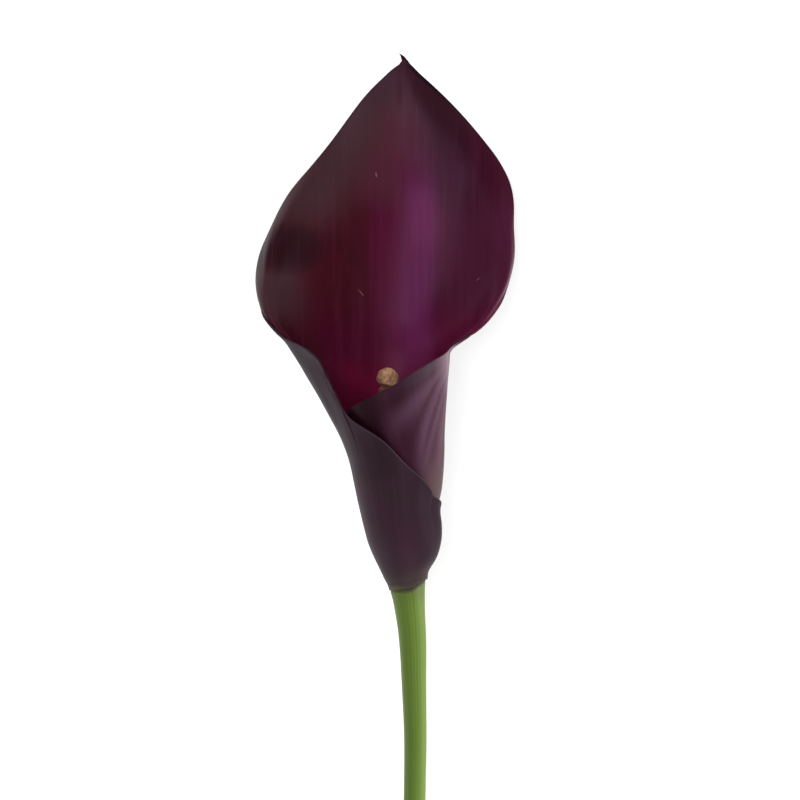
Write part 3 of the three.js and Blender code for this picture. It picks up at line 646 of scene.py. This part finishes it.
def spathe_outside():
    """plum grey on the outer wing; mauve on the inner one, with soft folds that fan out from its corner, painted
    lighter on their ridges and darker in their creases as painted light and shade
    """
    n = Nodes("spathe_outside")
    strip, s, edge, deg, foot = leaf_fields(n)
    ridge, crease, lane = n.attr("relief")
    obj = n.node("ShaderNodeTexCoord").outputs["Object"]
    both = lambda *a: a[0] if len(a) == 1 else n.math("MULTIPLY", a[0], both(*a[1:]))
    streak = n.noise(n.vec(n.math("MULTIPLY", strip, 2.6), n.math("MULTIPLY", s, 0.0035), 0.0), 1.0, 4.0, 0.6)
    fine = n.noise(n.vec(n.math("MULTIPLY", strip, 11.0), n.math("MULTIPLY", s, 0.008), 3.0), 1.0, 3.0, 0.6)
    cloud = n.noise(n.vec(n.math("MULTIPLY", deg, 0.012), n.math("MULTIPLY", s, 0.010), 4.0), 1.0, 2.0, 0.5)
    hue = n.noise(n.vec(n.math("MULTIPLY", deg, 0.008), n.math("MULTIPLY", s, 0.013), 12.0), 1.0, 2.0, 0.5)
    col = n.mix(n.band(streak, 0.30, 0.74), rgb(52, 36, 43), rgb(60, 41, 49))
    col = n.mix(n.band(hue, 0.42, 0.6, 0.0, 0.7), col, rgb(64, 38, 53))
    col = n.mix(n.band(cloud, 0.4, 0.65, 0.0, 0.3), col, rgb(66, 38, 57))
    col = n.mix(n.band(deg, -182.0, -225.0, 0.0, 0.7), col, n.mix(n.band(s, 52.0, 80.0), rgb(45, 26, 36), rgb(34, 16, 26)))
    col = n.mix(both(n.band(s, 98.0, 122.0), n.band(deg, -195.0, -172.0), 0.6), col, rgb(42, 29, 34))
    col = n.mix(both(n.band(s, 75.0, 40.0), n.band(deg, -175.0, -145.0), 0.5), col, rgb(60, 50, 53))
    # painted sheen: the outer wing's left side is painted lighter and greyer, where light glances off it
    col = n.mix(both(n.band(deg, -140.0, -100.0), n.band(deg, -40.0, -80.0), n.band(s, 190.0, 110.0), 0.8), col, rgb(68, 52, 59))
    col = n.mix(both(n.band(deg, -140.0, -105.0), n.band(s, 150.0, 200.0), 0.9), col, rgb(34, 13, 26))

    wing = n.mix(n.band(deg, 176.0, 104.0), rgb(56, 20, 37), rgb(95, 59, 77))
    # painted light and shade: the folds' ridges are painted lighter and their creases darker
    wing = n.mix(n.math("MULTIPLY", ridge, 0.6), wing, rgb(100, 70, 92))
    wing = n.mix(n.math("MULTIPLY", crease, 0.6), wing, rgb(56, 18, 35))
    wing = n.mix(both(n.band(streak, 0.5, 0.7), 0.04), wing, rgb(100, 72, 90))
    wing = n.mix(both(n.band(s, 150.0, 98.0), n.band(deg, 160.0, 118.0), 0.8), wing, rgb(94, 74, 72))
    wing = n.mix(both(n.band(edge, 0.55, 0.1), n.band(deg, 110.0, 130.0), 0.65), wing, n.mix(n.band(deg, 135.0, 165.0), rgb(60, 46, 54), rgb(46, 20, 32)))
    # painted highlight on the inner wing's upper corner, on the rounded right side of the tube
    wing = n.mix(both(n.band(s, 182.0, 234.0), n.band(s, 252.0, 243.0), n.band(deg, 134.0, 96.0), 0.88), wing, rgb(154, 130, 142))
    wing = n.mix(n.band(s, 238.0, 248.0, 0.0, 0.9), wing, rgb(44, 20, 33))
    # deep red and darker where the inner wing runs on under the outer wing's lip: part its own colour, part painted
    # shade
    wing = n.mix(n.band(deg, 176.0, 200.0, 0.0, 0.9), wing, rgb(32, 8, 17))
    col = n.mix(n.band(deg, 52.0, 76.0), col, wing)
    col = n.mix(n.band(foot, 28.0, 4.0, 0.0, 0.6), col, rgb(75, 66, 63))
    col = n.mix(both(n.band(foot, 7.0, 0.5), n.band(n.math("SINE", n.math("MULTIPLY", deg, 0.0174533)), 0.2, -0.7, 0.25, 0.85)), col, rgb(94, 98, 62))
    col = n.mix(n.band(fine, 0.3, 0.8, 0.0, 0.12), col, n.mix(1.0, col, (0.6, 0.55, 0.57, 1), "MULTIPLY"))
    col = n.mix(both(n.band(edge, 0.04, 0.0), n.band(deg, 20.0, -90.0, 0.1, 0.6), n.band(s, 195.0, 165.0, 0.2, 1.0)), col, rgb(86, 70, 76))
    n.set(Base_Color=col)
    n.set(Roughness=n.band(fine, 0.3, 0.7, 0.46, 0.54))
    pores = n.noise(obj, 2600.0, 2.0, 0.6)
    lines = n.math("ADD", n.math("MULTIPLY", streak, 0.5), n.math("MULTIPLY", fine, 0.5))
    n.set(Normal=n.bump(pores, 0.00002, 0.35, n.bump(lines, 0.00005, 0.4)))
    n.bsdf.inputs["Specular IOR Level"].default_value = 0.11
    n.bsdf.inputs["Specular Tint"].default_value = (1.0, 0.7, 0.92, 1)
    n.bsdf.inputs["Sheen Weight"].default_value = 0.01
    n.bsdf.inputs["Sheen Roughness"].default_value = 0.45
    n.bsdf.inputs["Sheen Tint"].default_value = (0.92, 0.84, 0.88, 1)
    return n.mat


def spadix_material():
    n = Nodes("spadix")
    bump, tint, lump = n.attr("floret")
    top, under, dent = n.attr("head")
    sx, height, cz = n.attr("flow")
    obj = n.node("ShaderNodeTexCoord").outputs["Object"]
    spots = n.noise(obj, 1500.0, 3.0, 0.6)
    patch = n.noise(obj, 420.0, 2.0, 0.5)
    col = n.mix(tint, rgb(198, 146, 108), rgb(222, 176, 138))
    col = n.mix(n.band(bump, 0.55, 0.1, 0.0, n.band(top, 0.0, 1.0, 0.9, 0.45)), col, rgb(142, 82, 52))
    col = n.mix(n.math("MULTIPLY", n.band(patch, 0.45, 0.65), n.math("MULTIPLY", top, 0.45)), col, rgb(182, 142, 122))
    col = n.mix(n.band(spots, 0.4, 0.75, 0.0, 0.45), col, rgb(160, 104, 68))
    # painted light and shade on the head: its right side is painted lighter, its left side darker
    col = n.mix(n.math("MULTIPLY", n.band(sx, 0.2, 0.9), n.math("MULTIPLY", top, 0.6)), col, rgb(226, 158, 112))
    col = n.mix(n.math("MULTIPLY", n.band(sx, -0.25, -0.9), n.math("MULTIPLY", top, 0.6)), col, rgb(134, 80, 66))
    col = n.mix(n.math("MULTIPLY", n.band(dent, -0.1, -0.9), n.math("MULTIPLY", top, 0.5)), col, rgb(150, 108, 90))
    # painted shade under the head, where it meets the finger below
    col = n.mix(n.math("MULTIPLY", under, 0.92), col, rgb(82, 33, 29))
    col = n.mix(n.band(lump, 0.35, 0.9, 0.0, 0.75), col, rgb(160, 90, 64))
    n.set(Base_Color=col)
    n.set(Roughness=n.band(spots, 0.3, 0.7, 0.62, 0.85))
    n.set(Normal=n.bump(spots, 0.00008, 0.8))
    n.bsdf.inputs["Specular IOR Level"].default_value = 0.3
    n.bsdf.inputs["Sheen Weight"].default_value = 0.08
    return n.mat


def stem_material():
    n = Nodes("stem")
    sx, height, cz = n.attr("flow")
    ang = n.math("ARCTAN2", sx, cz)
    around = n.vec(n.math("MULTIPLY", sx, 1.0), n.math("MULTIPLY", height, 0.05), n.math("MULTIPLY", cz, 1.0))
    streak = n.noise(around, 9.0, 4.0, 0.6)
    broad = n.noise(n.vec(sx, n.math("MULTIPLY", height, 0.6), cz), 1.3, 3.0, 0.5)
    col = n.mix(n.band(streak, 0.32, 0.7), rgb(100, 128, 44), rgb(118, 146, 56))
    col = n.mix(n.band(broad, 0.4, 0.7, 0.0, 0.4), col, rgb(106, 136, 50))
    # painted light and shade: the stem's left side is painted darker and its right side lighter
    col = n.mix(n.band(sx, 0.5, -0.9, 0.0, 0.5), col, rgb(84, 106, 36))
    col = n.mix(n.band(sx, 0.1, 0.9, 0.0, 0.5), col, rgb(134, 164, 62))
    col = n.mix(n.band(height, -0.3, 0.05, 0.0, 0.55), col, rgb(96, 106, 54))
    # painted shadow line round the stem just below the spathe's base, where the spathe's lip stands off it
    foot = n.math("SUBTRACT", height, n.math("MULTIPLY", n.math("POWER", n.math("MAXIMUM", sx, 0.0), 1.6), 0.11))
    col = n.mix(n.band(foot, -0.075, -0.02, 0.0, 0.85), col, rgb(62, 56, 42))
    cut = n.band(height, -7.985, -7.999)
    pith = n.noise(n.node("ShaderNodeTexCoord").outputs["Object"], 1800.0, 3.0, 0.6)
    col = n.mix(cut, col, n.mix(n.band(pith, 0.35, 0.7), rgb(176, 190, 130), rgb(206, 212, 168)))
    n.set(Base_Color=col)
    n.set(Roughness=n.band(streak, 0.3, 0.7, 0.40, 0.52))
    n.set(Normal=n.bump(streak, 0.00008, 0.4, n.bump(pith, 0.00005, n.math("ADD", n.math("MULTIPLY", cut, 0.8), 0.1))))
    n.bsdf.inputs["Specular IOR Level"].default_value = 0.3
    return n.mat


spathe, spadix, stem = make_spathe(), make_spadix(), make_stem()
for ob, mats, node in ((spathe, (spathe_outside(), spathe_inside()), "spathe"), (spadix, (spadix_material(),), "spadix"),
                       (stem, (stem_material(),), "stem")):
    for mat in mats:
        ob.data.materials.append(mat)
    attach(ob, "root")
    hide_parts(node)

# ------------------------------------------------------------------ floor, camera and light
bpy.ops.mesh.primitive_plane_add(size=30, location=(0, 0, 0))
floor = bpy.context.object
floor.name = "floor"
fm = Nodes("floor")
fn = fm.noise(fm.node("ShaderNodeTexCoord").outputs["Object"], 3.0, 2.0, 0.5)
fm.set(Base_Color=fm.mix(fn, (0.80, 0.80, 0.80, 1), (0.82, 0.82, 0.82, 1)))
fm.set(Roughness=0.8)
fm.bsdf.inputs["Specular IOR Level"].default_value = 0.1
fm.bsdf.inputs["Emission Color"].default_value = (1, 1, 1, 1)
fm.bsdf.inputs["Emission Strength"].default_value = 0.64
floor.data.materials.append(fm.mat)

cam_data = bpy.data.cameras.new("camera")
cam_data.lens, cam_data.sensor_width = 120.0, 36.0
cam_data.clip_start, cam_data.clip_end = 0.01, 20
cam = bpy.data.objects.new("camera", cam_data)
bpy.context.scene.collection.objects.link(cam)
cam.location = (SHIFT[0] * 0.001, SHIFT[1] * 0.001, (TRUE_PLANE + EYE_ABOVE + SHIFT[2]) * 0.001)
cam.rotation_euler = (0, 0, 0)
bpy.context.scene.camera = cam


def soft_light(name, place, target, size, size_y, power, turn=0.0, colour=(1, 1, 1)):
    """a rectangular soft box; its second side lies as nearly along the flower as its aim lets it, then turned by turn degrees"""
    d = bpy.data.lights.new(name, "AREA")
    d.shape, d.size, d.size_y, d.energy, d.color = "RECTANGLE", size, size_y, power, colour
    o = bpy.data.objects.new(name, d)
    bpy.context.scene.collection.objects.link(o)
    z = (Vector(place) - Vector(target)).normalized()
    y = Vector((0, 1, 0)) - z * z.y
    y.normalize()
    o.matrix_world = (Matrix.Translation(place) @ Matrix((y.cross(z), y, z)).transposed().to_4x4()
                      @ Matrix.Rotation(math.radians(turn), 4, "Z"))
    return o


mid = (0.0, 0.07, 0.0)
soft_light("key_strip", (-0.33, 0.30, 1.0), mid, 0.14, 0.75, 3.8, turn=52)
soft_light("right_low", (1.4, -0.3, 0.4), mid, 0.5, 1.2, 9.5)
soft_light("foot_end", (0.3, -1.5, 0.6), mid, 1.6, 0.6, 5)

world = bpy.data.worlds.new("studio")
bpy.context.scene.world = world
world.use_nodes = True
world.node_tree.nodes["Background"].inputs[0].default_value = (1, 1, 1, 1)
world.node_tree.nodes["Background"].inputs[1].default_value = 0.32
bpy.context.scene.view_settings.view_transform = "Standard"
